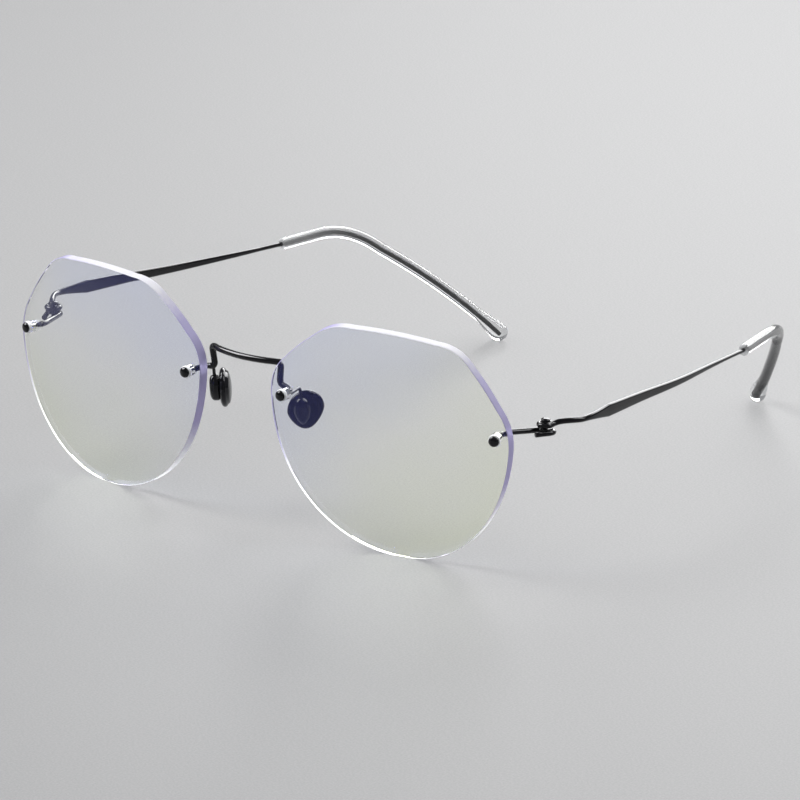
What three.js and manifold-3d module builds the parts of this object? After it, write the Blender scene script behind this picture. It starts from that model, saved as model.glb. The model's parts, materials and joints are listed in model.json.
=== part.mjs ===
// Rimless three-piece eyeglasses: two drilled lenses, a bent-wire bridge with
// nose pads, wire endpieces with vertical pin hinges, and flat-blade temples
// that end in clear sleeves. Units are millimetres.
// +X is the wearer's left, the lenses face -Y, +Z is up. The glasses stand on
// the lower lens edges and on the two temple tips.
import * as THREE from 'three';
import { mergeVertices } from 'three/addons/utils/BufferGeometryUtils.js';
import Module from 'manifold-3d';

const wasm = await Module();
wasm.setup();

// ---------------------------------------------------------------- dimensions

const DATUM_Y = -70.13; // lens plane, measured from the middle of the overall length

// Lens: base curve, thickness and position
const BASE_RADIUS = 132;
const LENS_THICKNESS = 2.1;
const LENS_CENTRE_X = 36.0;
const LENS_CENTRE_Z = 24.3;
const WRAP = THREE.MathUtils.degToRad(8.5); // temporal side swept back
const TILT = THREE.MathUtils.degToRad(4.36); // top edge leaning forward
const BLANK_RADIUS = 34;

// Lens outline corners, from the optical centre: x towards the temple, y up
const TOP_NASAL = [-12.8, 23.7];
const TOP_TEMPORAL = [16.4, 22.9];
const SIDE_TEMPORAL = [28.2, 7.0];
const SIDE_NASAL = [-27.0, 11.4];
const LENS_FOOT = [3.3, -24.7];
const CORNER_TRIM = 5.0;
const BROW_RISE = 0.95; // crown of the top edge
const FACET_RISE = 0.46; // crown of the two slanted edges

// Lens mounts: drilled hole, clear bushing, clear washer and domed cap
const NASAL_HOLE = [-23.6, 6.4];
const TEMPORAL_HOLE = [24.95, 4.8];
const HOLE_RADIUS = 1.2;
const SLEEVE_RADIUS = 1.1;
const SLEEVE_BORE = 0.87;
const FLANGE_RADIUS = 1.28;
const FLANGE_THICKNESS = 0.62;
const CAP_RADIUS = 1.12;
const CAP_HEIGHT = 0.8;
const FIT_GAP = 0.1;

// Bridge wire: corners of one half, and where its bar starts to bow
const BRIDGE_BACK = [12.25, 2.65, 31.2];
const BRIDGE_FOOT = [8.75, 3.05, 31.6];
const BRIDGE_CORNER = [9.35, 2.55, 36.15];
const BRIDGE_BAR = [6.6, 1.7, 36.1];

// Wires
const STUD_RADIUS = 0.3;
const BRIDGE_WIRE = 0.68;
const ENDPIECE_WIRE = 0.6;
const TWIN_OFFSET = 0.43; // bridge stud above, pad arm below, in one hole
const PAD_ARM_WIRE = 0.34;

// Hinge: vertical axis and the heights of its stacked parts
const HINGE = [63.6, 18.8];
const HOOK_Z = 28.6; // centre of the endpiece's hook round the pin
const HOOK_RADIUS = 1.35;
const HOOK_REACH = 0.4; // how far behind the pin its bend is centred
const HOOK_WIRE = 0.55;
const HOOK_TAIL = 2.9;
const PIN_RADIUS = 0.42;
const PIN_HEAD_RADIUS = 1.0;
const SPACER_RADIUS = 1.6;
const SPACER_BORE = 0.55;
const SPACER_HEIGHT = 0.3;
const LOOP_RADIUS = 1.35; // centre line of the temple's loop round the pin
const LOOP_WIRE = 0.52;
const WASHER_RADIUS = 1.2;
const WASHER_HEIGHT = 0.2;

// Temple blade and the wire that continues it
const JOG_FRONT = [65.75, 20.95, 30.7];
const JOG_BACK = [68.2, 24.95, 30.7];
const BLADE_START = [68.45, 27.65, 30.65];
const BLADE_WIDEST = [67.9, 34.85, 30.25];
const BLADE_TAPER = [66.6, 48.05, 29.65];
const BLADE_MIDDLE = [64.9, 65.05, 28.7];
const BLADE_END = [62.8, 81.05, 28.2];
const SLEEVE_ENTRY = [61.3, 94.65, 27.8];
const BLADE_FLARE_Y = 26; // where the wire starts to flatten
const BLADE_SLIM_Y = 88; // where the blade is down to the core wire
const BLADE_HALF_HEIGHT = 1.42;
const BLADE_HALF_THICKNESS = 0.54;
const ARM_RADIUS = 0.6; // wire of the jog
const CORE_RADIUS = 0.46;

// Clear temple tip: bend and closed end
const TIP_BEND = [57.9, 114.95, 28.3];
const TIP_END = [33.9, 142.75, 0.55];
const TIP_BEND_TRIM = 9.5;
const TIP_BOW = [0.3, 2.2, 1.2]; // outward bow of the descending part
const TIP_HALF_HEIGHT = 1.32;
const TIP_HALF_WIDTH = 1.12;
const BULB_SCALE = 1.55;
const TIP_BORE = 0.62;

// Nose pad: centre, sweep and size
const PAD_CENTRE = [10.7, 9.2, 25.15];
const PAD_SPLAY = THREE.MathUtils.degToRad(35);
const PAD_LEAN = THREE.MathUtils.degToRad(9.0);
const PAD_HALF_WIDTH = 3.95;
const PAD_HALF_HEIGHT = 4.25;
const PAD_THICKNESS = 2.5;
const BOX_HALF_WIDTH = 1.75;
const BOX_HALF_HEIGHT = 2.9;
const BOX_RISE = 0.7; // middle of the box above the middle of the pad
const BOX_THICKNESS = 1.8;
const BOX_BORE = 0.45;
const BOX_BORE_DEPTH = 1.15; // bore axis from the back of the box
const BOX_FORWARD = 1.35; // the box sits towards the front edge of the pad
const PAD_TAPER = 0.24; // how much narrower the pad gets towards its lower end

// ---------------------------------------------------------------- materials

const standard = (color, roughness, metalness, opacity = 1) =>
  new THREE.MeshStandardMaterial({ color, roughness, metalness, opacity, transparent: opacity < 1 });

const lensMaterial = standard(0xe6eaf2, 0.04, 0, 0.22);
const titanium = standard(0x0c0c0f, 0.22, 0.9);
const clearPlastic = standard(0xf2f4f6, 0.12, 0, 0.5);
const clearSilicone = standard(0xe9edf0, 0.2, 0, 0.45);
const padMaterial = standard(0x08080b, 0.15, 0);

// ------------------------------------------------------------------ helpers

// Closed mesh to solid, with its faces turned outwards
function toSolid(geometry) {
  const bare = geometry.clone();
  bare.deleteAttribute('normal');
  bare.deleteAttribute('uv');
  const merged = mergeVertices(bare, 1e-4);
  const vertProperties = new Float32Array(merged.getAttribute('position').array);
  const triVerts = new Uint32Array(merged.getIndex().array);
  if (signedVolume(vertProperties, triVerts) < 0) {
    for (let i = 0; i < triVerts.length; i += 3) {
      [triVerts[i], triVerts[i + 1]] = [triVerts[i + 1], triVerts[i]];
    }
  }
  return new wasm.Manifold(new wasm.Mesh({ numProp: 3, vertProperties, triVerts }));
}

function signedVolume(vertices, triangles) {
  const a = new THREE.Vector3();
  const b = new THREE.Vector3();
  const c = new THREE.Vector3();
  let volume = 0;
  for (let i = 0; i < triangles.length; i += 3) {
    a.fromArray(vertices, triangles[i] * 3);
    b.fromArray(vertices, triangles[i + 1] * 3);
    c.fromArray(vertices, triangles[i + 2] * 3);
    volume += a.dot(b.cross(c)) / 6;
  }
  return volume;
}

function toMesh(solid, name, material) {
  const { vertProperties, triVerts } = solid.getMesh();
  const geometry = new THREE.BufferGeometry();
  geometry.setAttribute('position', new THREE.BufferAttribute(vertProperties, 3));
  geometry.setIndex(new THREE.BufferAttribute(triVerts, 1));
  geometry.computeVertexNormals();
  const mesh = new THREE.Mesh(geometry, material);
  mesh.name = name;
  return mesh;
}

const vec = (p) => new THREE.Vector3(...p);
const reversed = (curve) => (curve instanceof THREE.LineCurve3
  ? new THREE.LineCurve3(curve.v2, curve.v1)
  : new THREE.QuadraticBezierCurve3(curve.v2, curve.v1, curve.v0));
const onSide = (p, side) => new THREE.Vector3(side * p[0], p[1], p[2]);

// Regular polygon that stands for a circle of the given radius
function disc(radius, segments) {
  const points = [];
  for (let i = 0; i < segments; i++) {
    const a = (2 * Math.PI * i) / segments;
    points.push(new THREE.Vector2(radius * Math.cos(a), radius * Math.sin(a)));
  }
  return new THREE.Shape(points);
}

// Turned part about local +Y from [radius, height] pairs
function turned(profile, segments = 20) {
  const points = profile.map(([r, h]) => new THREE.Vector2(r, h));
  return toSolid(new THREE.LatheGeometry(points, segments));
}

const ring = (outer, inner, low, high, segments = 20) =>
  turned([[inner, low], [outer, low], [outer, high], [inner, high], [inner, low]], segments);

// Stations along a path, closer where it bends, plus any distances asked for
function stations(path, { maxTurn = 15, maxStep = 4, extra = [] } = {}) {
  const samples = 1200;
  const length = path.getLength();
  const found = [0];
  let lastTangent = path.getTangentAt(0);
  for (let i = 1; i < samples; i++) {
    const t = i / samples;
    const tangent = path.getTangentAt(t);
    const turn = THREE.MathUtils.radToDeg(tangent.angleTo(lastTangent));
    const step = (t - found[found.length - 1]) * length;
    if (turn > maxTurn || step > maxStep) {
      found.push(t);
      lastTangent = tangent;
    }
  }
  const wanted = [...extra.map((d) => d / length), 1];
  const kept = found.filter((t) => wanted.every((w) => Math.abs(w - t) * length > 0.2));
  return [...kept, ...wanted].sort((a, b) => a - b);
}

// Half circles of the wire's half width, moved apart to its half height
function flankHeight(y, halfWidth, halfHeight) {
  const onCircle = y * halfWidth;
  return Math.abs(y) < 1e-6 ? onCircle : onCircle + Math.sign(y) * (halfHeight - halfWidth);
}

// A round section with flat sides carried along a path. sizeAt(d) gives its half
// sizes at distance d, and upright keeps its height as near vertical as it can be.
function swept(path, sizeAt, { sides = 10, upright = false, ...spacing } = {}) {
  const stops = stations(path, spacing);
  const steps = stops.length - 1;
  const length = path.getLength();
  const geometry = new THREE.ExtrudeGeometry(disc(1, sides), { depth: 1, steps, bevelEnabled: false });
  const up = new THREE.Vector3(0, 0, 1);
  const across = new THREE.Vector3(1, 0, 0);
  let carried = Math.abs(path.getTangentAt(0).z) < 0.9 ? up.clone() : across;
  const frames = stops.map((t) => {
    const tangent = path.getTangentAt(t);
    const second = (upright ? up : carried).clone();
    second.addScaledVector(tangent, -second.dot(tangent)).normalize();
    carried = second;
    return { point: path.getPointAt(t), first: second.clone().cross(tangent), second };
  });
  const position = geometry.getAttribute('position');
  for (let i = 0; i < position.count; i++) {
    const step = Math.round(position.getZ(i) * steps);
    const { point, first, second } = frames[step];
    const [halfWidth, halfHeight] = sizeAt(stops[step] * length);
    const moved = point.clone();
    moved.addScaledVector(first, position.getX(i) * halfWidth);
    moved.addScaledVector(second, flankHeight(position.getY(i), halfWidth, halfHeight));
    position.setXYZ(i, moved.x, moved.y, moved.z);
  }
  return toSolid(geometry);
}

const round = (radius) => [radius, radius];
const lerp = THREE.MathUtils.lerp;
const smooth = THREE.MathUtils.smoothstep;

// Polyline whose corners are rounded by the given trims
function roundedPath(points, trims) {
  const path = new THREE.CurvePath();
  let from = points[0];
  for (let i = 1; i < points.length - 1; i++) {
    const corner = points[i];
    const before = corner.clone().lerp(points[i - 1], trims[i - 1] / corner.distanceTo(points[i - 1]));
    const after = corner.clone().lerp(points[i + 1], trims[i - 1] / corner.distanceTo(points[i + 1]));
    path.add(new THREE.LineCurve3(from, before));
    path.add(new THREE.QuadraticBezierCurve3(before, corner, after));
    from = after;
  }
  path.add(new THREE.LineCurve3(from, points[points.length - 1]));
  return path;
}

// --------------------------------------------------------------------- lens

const sag = (radius, x, z) => radius - Math.sqrt(radius * radius - x * x - z * z);

// Edge of the lens: crowned top and facets, rounded corners, elliptical lower part
function lensOutline(side) {
  const at = ([x, y]) => new THREE.Vector2(x, y);
  const corners = [TOP_NASAL, TOP_TEMPORAL, SIDE_TEMPORAL].map(at);
  const foot = at(LENS_FOOT);
  const sideNasal = at(SIDE_NASAL);
  const toward = (a, b, d) => a.clone().add(b.clone().sub(a).setLength(d));
  const crown = (a, b, rise) => {
    const across = b.clone().sub(a).normalize();
    return a.clone().lerp(b, 0.5).add(new THREE.Vector2(-across.y, across.x).multiplyScalar(rise));
  };
  const [tn, tt, st] = corners;
  const start = toward(tn, tt, CORNER_TRIM);
  const leave = toward(tt, tn, CORNER_TRIM);
  const enter = toward(tt, st, CORNER_TRIM);
  const low = toward(st, tt, CORNER_TRIM);
  const temporalDrop = st.clone().add(new THREE.Vector2(-0.35, -4.9));
  const nasalDrop = sideNasal.clone().add(new THREE.Vector2(0.18, -4.9));
  const nasalRise = toward(sideNasal, tn, CORNER_TRIM);
  const end = toward(tn, sideNasal, CORNER_TRIM);
  const shape = new THREE.Shape();
  const flip = (p) => [side * p.x, p.y];
  const curve = (a, b) => shape.quadraticCurveTo(...flip(a), ...flip(b));
  shape.moveTo(...flip(start));
  curve(crown(start, leave, BROW_RISE), leave);
  curve(tt, enter);
  curve(crown(enter, low, FACET_RISE), low);
  curve(st, temporalDrop);
  shape.bezierCurveTo(
    side * (temporalDrop.x - 1.0), temporalDrop.y - 14.5,
    side * (foot.x + 14.4), foot.y,
    ...flip(foot),
  );
  shape.bezierCurveTo(
    side * (foot.x - 15.6), foot.y,
    side * (nasalDrop.x + 0.7), nasalDrop.y - 19.1,
    ...flip(nasalDrop),
  );
  curve(sideNasal, nasalRise);
  curve(crown(nasalRise, end, FACET_RISE), end);
  curve(tn, start);
  return shape;
}

// Placement of a mount: on the front surface, local +Y pointing back through the lens
function mountFrame([x, z], side) {
  const frame = new THREE.Group();
  const point = new THREE.Vector3(side * x, sag(BASE_RADIUS, x, z), z);
  const back = new THREE.Vector3(0, BASE_RADIUS, 0).sub(point).normalize();
  frame.position.copy(point);
  frame.quaternion.setFromUnitVectors(new THREE.Vector3(0, 1, 0), back);
  frame.updateMatrix();
  return frame;
}

function lensSolid(side, pose) {
  const profile = [];
  const rings = 5;
  for (let i = 0; i <= rings; i++) {
    const r = (BLANK_RADIUS * i) / rings;
    profile.push([r, sag(BASE_RADIUS, r, 0)]);
  }
  for (let i = rings; i >= 0; i--) {
    const r = (BLANK_RADIUS * i) / rings;
    profile.push([r, LENS_THICKNESS + sag(BASE_RADIUS - LENS_THICKNESS, r, 0)]);
  }
  const blank = turned(profile, 32);
  const edge = new THREE.ExtrudeGeometry(lensOutline(side), {
    depth: 20, steps: 1, bevelEnabled: false, curveSegments: 7,
  });
  edge.rotateX(Math.PI / 2);
  edge.translate(0, 14, 0);
  let lens = blank.intersect(toSolid(edge));
  for (const hole of [NASAL_HOLE, TEMPORAL_HOLE]) {
    const drill = new THREE.CylinderGeometry(HOLE_RADIUS, HOLE_RADIUS, 10, 16);
    drill.applyMatrix4(mountFrame(hole, side).matrix);
    lens = lens.subtract(toSolid(drill));
  }
  // The lowest point of the edge is dressed flat where it meets the table
  const table = new THREE.BoxGeometry(100, 60, 20);
  table.translate(side * LENS_CENTRE_X, 0, -10);
  table.applyMatrix4(pose.clone().invert());
  return lens.subtract(toSolid(table));
}

// ------------------------------------------------------------------- mounts

function mountParts(frame, name) {
  const cap = [[0, -FIT_GAP - FLANGE_THICKNESS - FIT_GAP]];
  const capBack = cap[0][1];
  cap.push([CAP_RADIUS - 0.06, capBack], [CAP_RADIUS, capBack - 0.08], [CAP_RADIUS, capBack - 0.3]);
  for (const a of [20, 42, 66]) {
    const angle = THREE.MathUtils.degToRad(a);
    cap.push([CAP_RADIUS * Math.cos(angle), capBack - 0.3 - (CAP_HEIGHT - 0.3) * Math.sin(angle)]);
  }
  cap.push([0, capBack - CAP_HEIGHT]);
  frame.add(toMesh(turned(cap, 16), `${name}_cap`, titanium));

  const front = -FIT_GAP - FLANGE_THICKNESS;
  const bushing = turned([
    [SLEEVE_BORE, front], [FLANGE_RADIUS, front], [FLANGE_RADIUS, -FIT_GAP],
    [SLEEVE_RADIUS, -FIT_GAP], [SLEEVE_RADIUS, 2.1], [SLEEVE_BORE, 2.1], [SLEEVE_BORE, front],
  ], 16);
  frame.add(toMesh(bushing, `${name}_bushing`, clearPlastic));
  frame.add(toMesh(ring(FLANGE_RADIUS, SLEEVE_BORE, 2.25, 2.75, 16), `${name}_washer`, clearPlastic));
}

// Point on the axis of a mount, back being the distance behind the front surface
function mountPoint(frame, back, rise = 0) {
  return frame.localToWorld(new THREE.Vector3(0, back, rise));
}

const STUD_FRONT = -FIT_GAP - FLANGE_THICKNESS + 0.05;

// ------------------------------------------------------------------- bridge

// Wire that leaves each nasal mount, turns towards the nose, rises and crosses over it
function bridgeSolid(leftMount, rightMount) {
  const half = (mount, side) => roundedPath([
    mountPoint(mount, STUD_FRONT, TWIN_OFFSET),
    onSide(BRIDGE_BACK, side),
    onSide(BRIDGE_FOOT, side),
    onSide(BRIDGE_CORNER, side),
    onSide(BRIDGE_BAR, side),
  ], [1.0, 1.2, 1.05]);
  const path = new THREE.CurvePath();
  for (const piece of half(rightMount, -1).curves) {
    path.add(piece);
  }
  const bow = vec(BRIDGE_BAR).lerp(vec(BRIDGE_CORNER), BRIDGE_BAR[0] / (BRIDGE_BAR[0] - BRIDGE_CORNER[0]));
  path.add(new THREE.QuadraticBezierCurve3(onSide(BRIDGE_BAR, -1), bow, onSide(BRIDGE_BAR, 1)));
  for (const piece of half(leftMount, 1).curves.reverse()) {
    path.add(reversed(piece));
  }
  const length = path.getLength();
  const size = (d) => round(lerp(STUD_RADIUS, BRIDGE_WIRE, smooth(Math.min(d, length - d), 4.2, 7.4)));
  return swept(path, size, { maxStep: 2, extra: [4.2, 5.8, 7.4, length - 7.4, length - 5.8, length - 4.2] });
}

// ---------------------------------------------------------------- endpieces

// Wire from the temporal mount to the hinge, hooked once round the pin
function endpieceSolid(mount, side) {
  const pin = onSide([...HINGE, HOOK_Z], side);
  const bend = mountPoint(mount, 4.7);
  const run = pin.clone().sub(bend).setZ(0).normalize();
  const outward = new THREE.Vector3(side * Math.abs(run.y), -Math.abs(run.x), 0);
  const onHook = (along, out) => pin.clone().addScaledVector(run, along).addScaledVector(outward, out);
  const path = new THREE.CurvePath();
  const lead = roundedPath([mountPoint(mount, STUD_FRONT), bend, onHook(HOOK_REACH, -HOOK_RADIUS)], [1.7]);
  for (const piece of lead.curves) {
    path.add(piece);
  }
  const turn = [];
  for (let a = 0; a <= 180; a += 15) {
    const angle = THREE.MathUtils.degToRad(a);
    turn.push(onHook(HOOK_REACH + HOOK_RADIUS * Math.sin(angle), -HOOK_RADIUS * Math.cos(angle)));
  }
  path.add(new THREE.CatmullRomCurve3(turn));
  path.add(new THREE.LineCurve3(onHook(HOOK_REACH, HOOK_RADIUS), onHook(-HOOK_TAIL, HOOK_RADIUS)));
  const length = path.getLength();
  const size = (d) => {
    const wire = lerp(STUD_RADIUS, ENDPIECE_WIRE, smooth(d, 3.4, 4.6));
    return round(lerp(wire, HOOK_WIRE, smooth(d, length - 8.5, length - 6.5)));
  };
  return swept(path, size, { extra: [3.4, 4.0, 4.6], maxStep: 3 });
}

// -------------------------------------------------------------------- hinge

const SPACER_LOW = HOOK_Z + HOOK_WIRE + FIT_GAP;
const LOOP_Z = SPACER_LOW + SPACER_HEIGHT + FIT_GAP + LOOP_WIRE;
const WASHER_LOW = LOOP_Z + LOOP_WIRE + FIT_GAP;

function hingeParts(side, name, group) {
  const hinge = new THREE.Group();
  hinge.position.set(side * HINGE[0], HINGE[1], 0);
  hinge.rotation.x = Math.PI / 2; // local +Y is up
  group.add(hinge);
  const foot = HOOK_Z - HOOK_WIRE;
  const head = WASHER_LOW + WASHER_HEIGHT + FIT_GAP;
  const pin = turned([
    [0, foot], [PIN_RADIUS - 0.1, foot], [PIN_RADIUS, foot + 0.1],
    [PIN_RADIUS, head], [PIN_HEAD_RADIUS, head], [PIN_HEAD_RADIUS, head + 0.15],
    [PIN_HEAD_RADIUS * 0.75, head + 0.32], [PIN_HEAD_RADIUS * 0.35, head + 0.41], [0, head + 0.43],
  ], 14);
  hinge.add(toMesh(pin, `${name}_hinge_pin`, titanium));
  const spacer = ring(SPACER_RADIUS, SPACER_BORE, SPACER_LOW, SPACER_LOW + SPACER_HEIGHT);
  hinge.add(toMesh(spacer, `${name}_hinge_spacer`, titanium));
  const washer = ring(WASHER_RADIUS, SPACER_BORE, WASHER_LOW, WASHER_LOW + WASHER_HEIGHT, 16);
  hinge.add(toMesh(washer, `${name}_hinge_washer`, titanium));
}

// ------------------------------------------------------------------ temples

// Loop round the pin, outward jog, tall flat blade and the thin wire that fills the tip
function templePath(side) {
  const points = [];
  for (let a = 100; a <= 360; a += 20) {
    const angle = THREE.MathUtils.degToRad(a);
    points.push([HINGE[0] + LOOP_RADIUS * Math.cos(angle), HINGE[1] + LOOP_RADIUS * Math.sin(angle), LOOP_Z]);
  }
  points.push(
    [HINGE[0] + LOOP_RADIUS + 0.08, HINGE[1] + 1.2, LOOP_Z + 0.2],
    JOG_FRONT, JOG_BACK, BLADE_START, BLADE_WIDEST, BLADE_TAPER, BLADE_MIDDLE, BLADE_END, SLEEVE_ENTRY,
  );
  return new THREE.CatmullRomCurve3(points.map((p) => onSide(p, side)), false, 'centripetal');
}

// Path of the tip, ending the given distance short of its closed end
function tipCurves(side, shortBy = 0) {
  const start = onSide(SLEEVE_ENTRY, side);
  const corner = onSide(TIP_BEND, side);
  const back = onSide(TIP_END, side).sub(corner);
  const end = corner.clone().addScaledVector(back, 1 - shortBy / back.length());
  const before = corner.clone().lerp(start, TIP_BEND_TRIM / corner.distanceTo(start));
  const after = corner.clone().lerp(end, TIP_BEND_TRIM / corner.distanceTo(end));
  const bowed = after.clone().lerp(end, 0.5).add(onSide(TIP_BOW, side));
  return [
    new THREE.LineCurve3(start, before),
    new THREE.QuadraticBezierCurve3(before, corner, after),
    new THREE.QuadraticBezierCurve3(after, bowed, end),
  ];
}

// Distance along a path at which it last reaches the given y
function distanceAt(path, y) {
  const samples = 400;
  let i = samples;
  while (i > 0 && path.getPointAt(i / samples).y > y) {
    i -= 1;
  }
  return (i / samples) * path.getLength();
}

function templeSolid(side) {
  const front = templePath(side);
  const flare = distanceAt(front, BLADE_FLARE_Y);
  const widest = distanceAt(front, BLADE_WIDEST[1]);
  const slim = distanceAt(front, BLADE_SLIM_Y);
  const path = new THREE.CurvePath();
  path.add(front);
  for (const piece of tipCurves(side, 1.6)) {
    path.add(piece);
  }
  const size = (d) => {
    if (d < flare) {
      return round(lerp(LOOP_WIRE, ARM_RADIUS, smooth(d, 6, 9)));
    }
    if (d < widest) {
      const f = (d - flare) / (widest - flare);
      return [
        lerp(ARM_RADIUS, BLADE_HALF_THICKNESS, f),
        lerp(ARM_RADIUS, BLADE_HALF_HEIGHT, f * (0.6 + 0.4 * f)),
      ];
    }
    const f = Math.min((d - widest) / (slim - widest), 1);
    return [
      lerp(BLADE_HALF_THICKNESS, CORE_RADIUS, f),
      lerp(BLADE_HALF_HEIGHT, CORE_RADIUS, f * (1.2 - 0.2 * f)),
    ];
  };
  return swept(path, size, { maxStep: 5, upright: true, extra: [flare, (flare + widest) / 2, widest, slim] });
}

function tipSolid(side) {
  const path = new THREE.CurvePath();
  for (const piece of tipCurves(side)) {
    path.add(piece);
  }
  const length = path.getLength();
  const bulb = TIP_HALF_HEIGHT * BULB_SCALE;
  const size = (d) => {
    const left = length - d;
    let scale = lerp(BULB_SCALE, 1, smooth(left, 2.0, 9.0));
    if (left < bulb) {
      scale *= Math.sqrt(Math.max(0.05, 1 - ((bulb - left) / bulb) ** 2));
    }
    return [TIP_HALF_WIDTH * scale, TIP_HALF_HEIGHT * scale];
  };
  const rounding = [8, 6, 4.5, 3.2, bulb, bulb * 0.62, bulb * 0.34, bulb * 0.13].map((left) => length - left);
  const outer = swept(path, size, { sides: 12, upright: true, extra: rounding });
  const borePath = new THREE.CurvePath();
  const [straight, ...rest] = tipCurves(side, 1.2);
  const lead = straight.v1.clone().sub(straight.v2).setLength(1.5).add(straight.v1);
  borePath.add(new THREE.LineCurve3(lead, straight.v2));
  for (const piece of rest) {
    borePath.add(piece);
  }
  const bore = swept(borePath, () => round(TIP_BORE), { sides: 8, maxStep: 5, upright: true });
  const table = new THREE.BoxGeometry(400, 400, 20);
  table.translate(0, 0, -10);
  return outer.subtract(bore).subtract(toSolid(table));
}

// ---------------------------------------------------------------- nose pads

// Pad frame: local +Z towards the nose, local +Y up along the pad
function padFrame(side) {
  const frame = new THREE.Group();
  const toNose = new THREE.Vector3(-side * Math.cos(PAD_SPLAY), Math.sin(PAD_SPLAY), 0);
  const up = new THREE.Vector3(0, -Math.sin(PAD_LEAN), Math.cos(PAD_LEAN));
  const across = up.clone().cross(toNose).normalize();
  const normal = across.clone().cross(up).normalize();
  frame.quaternion.setFromRotationMatrix(new THREE.Matrix4().makeBasis(across, up, normal));
  frame.position.copy(onSide(PAD_CENTRE, side));
  frame.updateMatrix();
  frame.updateMatrixWorld();
  return frame;
}

// Rounded shield outline, fuller above than below
function padShape(halfWidth, halfHeight, segments) {
  const points = [];
  for (let i = 0; i < segments; i++) {
    const a = (2 * Math.PI * i) / segments;
    const taper = 1 - PAD_TAPER * Math.max(0, -Math.sin(a));
    points.push(new THREE.Vector2(halfWidth * Math.cos(a) * taper, halfHeight * Math.sin(a)));
  }
  return new THREE.Shape(points);
}

// Pad body: domed towards the nose, flat with a rounded rim on the other side
function padSolid() {
  const layers = [
    [-0.5, 0.8], [-0.38, 0.93], [-0.1, 1.0], [0.12, 0.985], [0.28, 0.92], [0.4, 0.8], [0.47, 0.6], [0.5, 0.3],
  ];
  const steps = layers.length - 1;
  const geometry = new THREE.ExtrudeGeometry(padShape(PAD_HALF_WIDTH, PAD_HALF_HEIGHT, 28), {
    depth: 1, steps, bevelEnabled: false,
  });
  const position = geometry.getAttribute('position');
  for (let i = 0; i < position.count; i++) {
    const [height, scale] = layers[Math.round(position.getZ(i) * steps)];
    position.setXYZ(i, position.getX(i) * scale, position.getY(i) * scale, height * PAD_THICKNESS);
  }
  return toSolid(geometry);
}

const BOX_BACK = -PAD_THICKNESS / 2 - 0.12 - BOX_THICKNESS;
const BOX_TOP = BOX_RISE + BOX_HALF_HEIGHT;

// Pad box: bored from above for the end of the pad arm
function boxSolid(side) {
  const geometry = new THREE.ExtrudeGeometry(padShape(BOX_HALF_WIDTH, BOX_HALF_HEIGHT, 16), {
    depth: BOX_THICKNESS - 0.5, steps: 1, bevelEnabled: true, bevelThickness: 0.25,
    bevelSize: 0.25, bevelOffset: -0.25, bevelSegments: 1,
  });
  geometry.translate(side * BOX_FORWARD, BOX_RISE, BOX_BACK + 0.25);
  const bore = new THREE.CylinderGeometry(BOX_BORE, BOX_BORE, 4.2, 12);
  bore.translate(side * BOX_FORWARD, BOX_TOP, BOX_BACK + BOX_BORE_DEPTH);
  return toSolid(geometry).subtract(toSolid(bore));
}

// Wire from the nasal mount that turns down into the pad box
function padArmSolid(mount, pad, side) {
  const onAxis = (y) => pad.localToWorld(
    new THREE.Vector3(side * BOX_FORWARD, y, BOX_BACK + BOX_BORE_DEPTH),
  );
  const path = roundedPath([
    mountPoint(mount, STUD_FRONT, -TWIN_OFFSET),
    mountPoint(mount, 3.2, -TWIN_OFFSET),
    onAxis(BOX_TOP + 2.4),
    onAxis(BOX_TOP - 1.7),
  ], [0.8, 1.1]);
  return swept(path, (d) => round(lerp(STUD_RADIUS, PAD_ARM_WIRE, smooth(d, 3, 4))), { sides: 8, maxTurn: 20 });
}

// ----------------------------------------------------------------- assembly

const eyeglasses = new THREE.Group();
eyeglasses.name = 'eyeglasses';
const nasalMounts = {};

for (const [name, side] of [['left', 1], ['right', -1]]) {
  const lensGroup = new THREE.Group();
  lensGroup.position.set(side * LENS_CENTRE_X, 0, LENS_CENTRE_Z);
  lensGroup.rotation.set(TILT, 0, side * WRAP, 'ZXY');
  lensGroup.updateMatrix();
  lensGroup.add(toMesh(lensSolid(side, lensGroup.matrix), `${name}_lens`, lensMaterial));
  const nasal = mountFrame(NASAL_HOLE, side);
  const temporal = mountFrame(TEMPORAL_HOLE, side);
  mountParts(nasal, `${name}_nasal_mount`);
  mountParts(temporal, `${name}_temporal_mount`);
  lensGroup.add(nasal, temporal);
  lensGroup.updateMatrixWorld(true);
  nasalMounts[name] = nasal;
  eyeglasses.add(lensGroup);

  eyeglasses.add(toMesh(endpieceSolid(temporal, side), `${name}_endpiece`, titanium));
  hingeParts(side, name, eyeglasses);

  const temple = new THREE.Group();
  temple.add(toMesh(templeSolid(side), `${name}_temple`, titanium));
  temple.add(toMesh(tipSolid(side), `${name}_temple_tip`, clearSilicone));
  eyeglasses.add(temple);

  const pad = padFrame(side);
  pad.add(toMesh(padSolid(), `${name}_nose_pad`, padMaterial));
  pad.add(toMesh(boxSolid(side), `${name}_pad_box`, titanium));
  eyeglasses.add(toMesh(padArmSolid(nasal, pad, side), `${name}_pad_arm`, titanium));
  eyeglasses.add(pad);
}

eyeglasses.add(toMesh(bridgeSolid(nasalMounts.left, nasalMounts.right), 'bridge', titanium));
eyeglasses.position.y = DATUM_Y;

export default eyeglasses;
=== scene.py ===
"""Rimless titanium eyeglasses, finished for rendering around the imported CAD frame.

Every CAD node is stood for by a finely modelled piece on the same body. Sizes below are in
millimetres, apart from the studio's and the camera's. They are those of the wearer's left side,
with y = 0 at the lens plane, and are mirrored for the right.
"""
import json
import math

import bmesh
import bpy
import numpy as np
from mathutils import Matrix, Vector


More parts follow.
